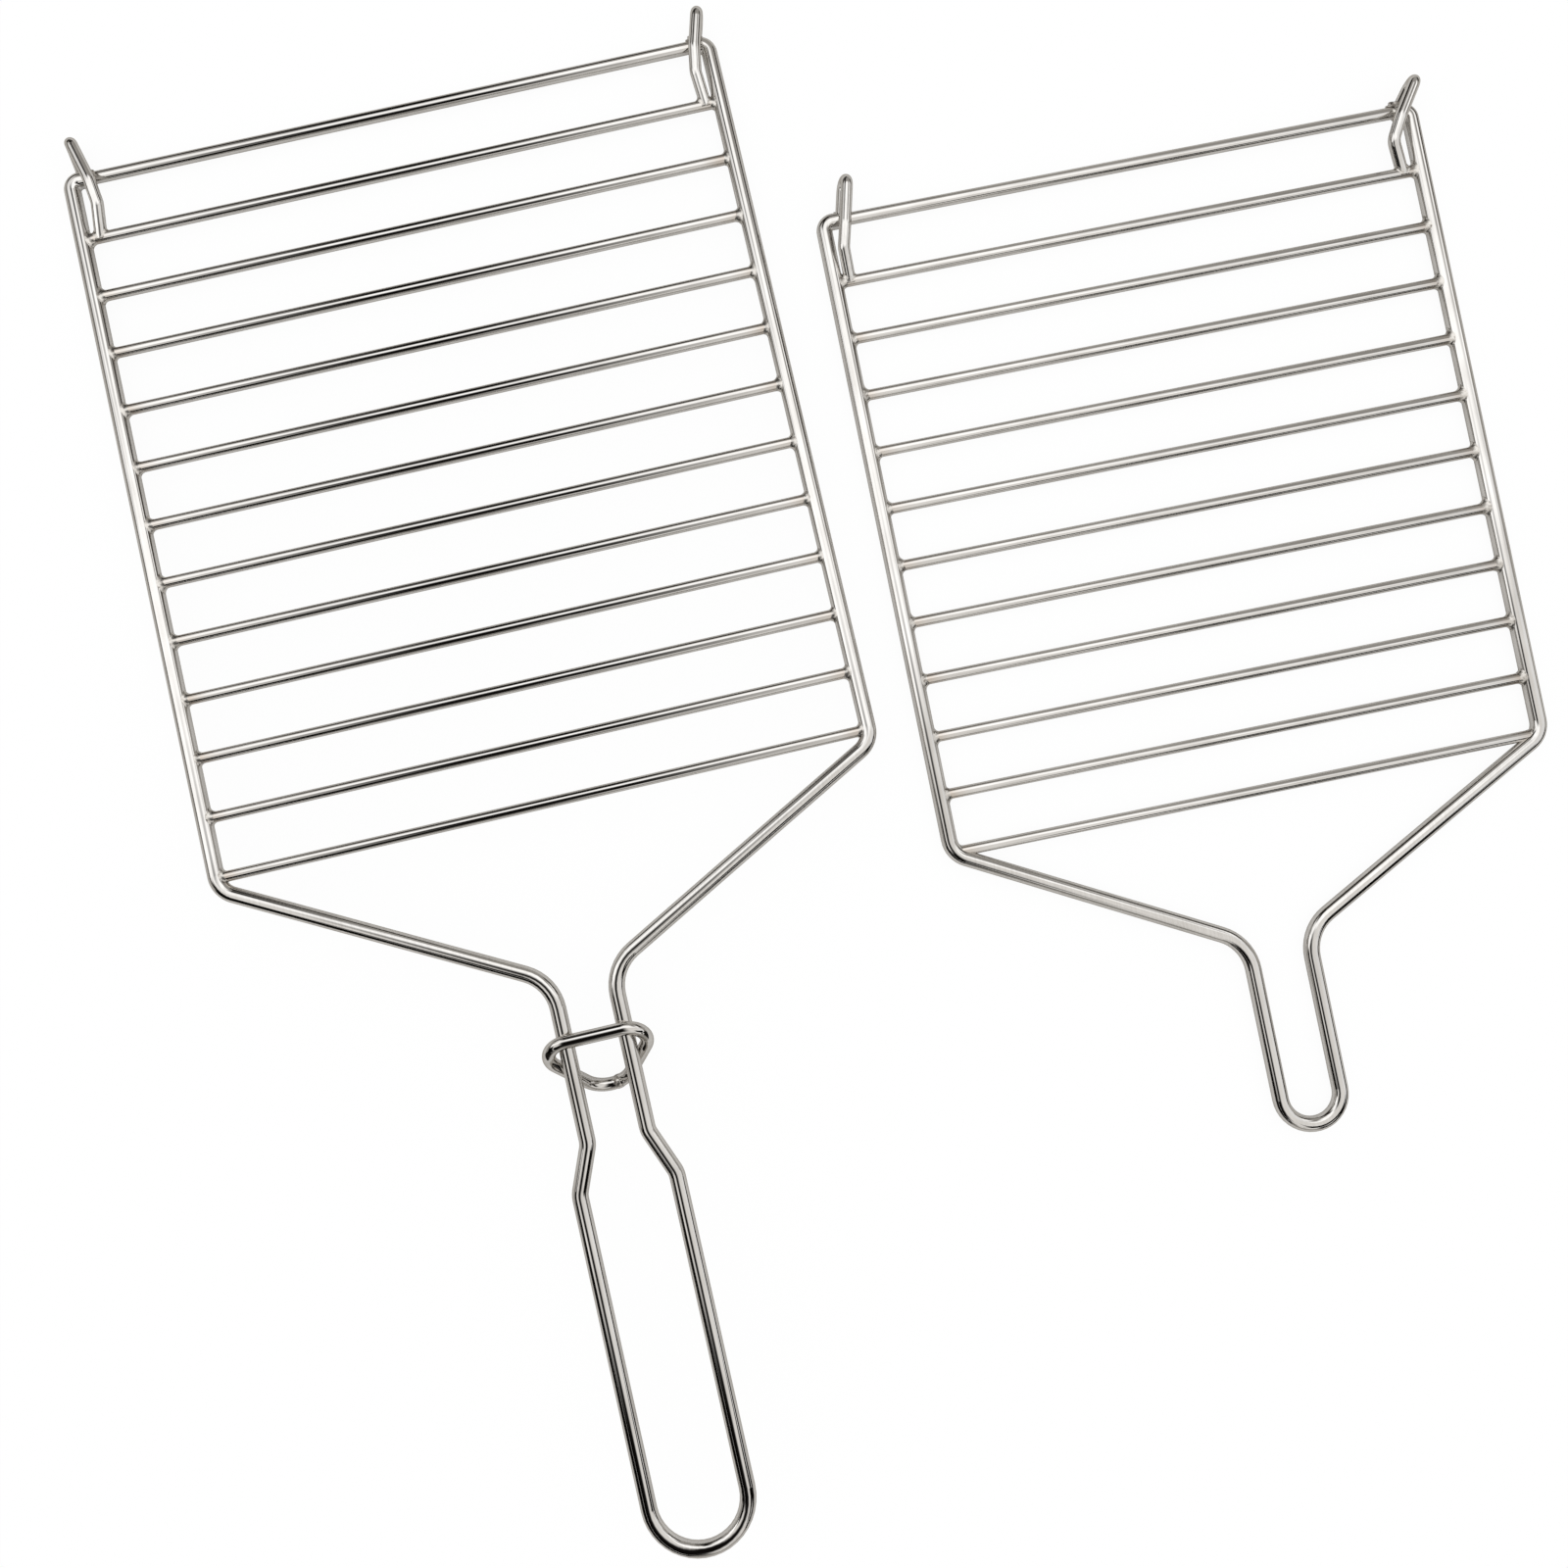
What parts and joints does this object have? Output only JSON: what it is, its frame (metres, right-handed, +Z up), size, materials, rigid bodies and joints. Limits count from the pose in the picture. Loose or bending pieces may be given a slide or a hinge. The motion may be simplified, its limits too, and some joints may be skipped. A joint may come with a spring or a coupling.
{
  "type": "hinged wire grill basket",
  "caption": "Steel-wire campfire grill basket in two flat grates: a long-handled base with a sliding lock ring and a shorter lid, with hooks along their top ends.",
  "frame": {"origin": "on the ground under the middle of the base's top bar, where the base's hooks stand", "axes": "+Y from the handles towards the hooks, +X from the base towards the lid beside it, +Z up from the ground"},
  "size_m": [0.5062, 0.556, 0.0264],
  "materials": {
    "frame_wire": "bright drawn, polished",
    "cross_wire": "bright drawn, polished",
    "hook_wire": "bright drawn, polished, hand bent",
    "ring_wire": "bright drawn, polished"
  },
  "bodies": {
    "base": {"base_frame": "frame_wire", "base_top_bar": "cross_wire", "base_rung_01": "cross_wire", "base_rung_02": "cross_wire", "base_rung_03": "cross_wire", "base_rung_04": "cross_wire", "base_rung_05": "cross_wire", "base_rung_06": "cross_wire", "base_rung_07": "cross_wire", "base_rung_08": "cross_wire", "base_rung_09": "cross_wire", "base_rung_10": "cross_wire", "base_rung_11": "cross_wire", "base_rung_12": "cross_wire", "base_hook_left": "hook_wire", "base_hook_right": "hook_wire"},
    "lid": {"lid_frame": "frame_wire", "lid_top_bar": "cross_wire", "lid_rung_01": "cross_wire", "lid_rung_02": "cross_wire", "lid_rung_03": "cross_wire", "lid_rung_04": "cross_wire", "lid_rung_05": "cross_wire", "lid_rung_06": "cross_wire", "lid_rung_07": "cross_wire", "lid_rung_08": "cross_wire", "lid_rung_09": "cross_wire", "lid_rung_10": "cross_wire", "lid_rung_11": "cross_wire", "lid_hook_left": "hook_wire", "lid_hook_right": "hook_wire"},
    "ring": {"lock_ring": "ring_wire"}
  },
  "joints": [
    {"name": "ring_slide", "type": "slide", "parent": "base", "child": "ring", "axis": [0, -0.9993, 0.0379], "range_m": [-0.014, 0.024]},
    {"name": "lid_swing", "type": "hinge", "parent": "base", "child": "lid", "pos_m": [0.26317, -0.07275, 0.0061], "axis": [-0.9997, 0.0262, 0], "range_deg": [0, 180]}
  ]
}
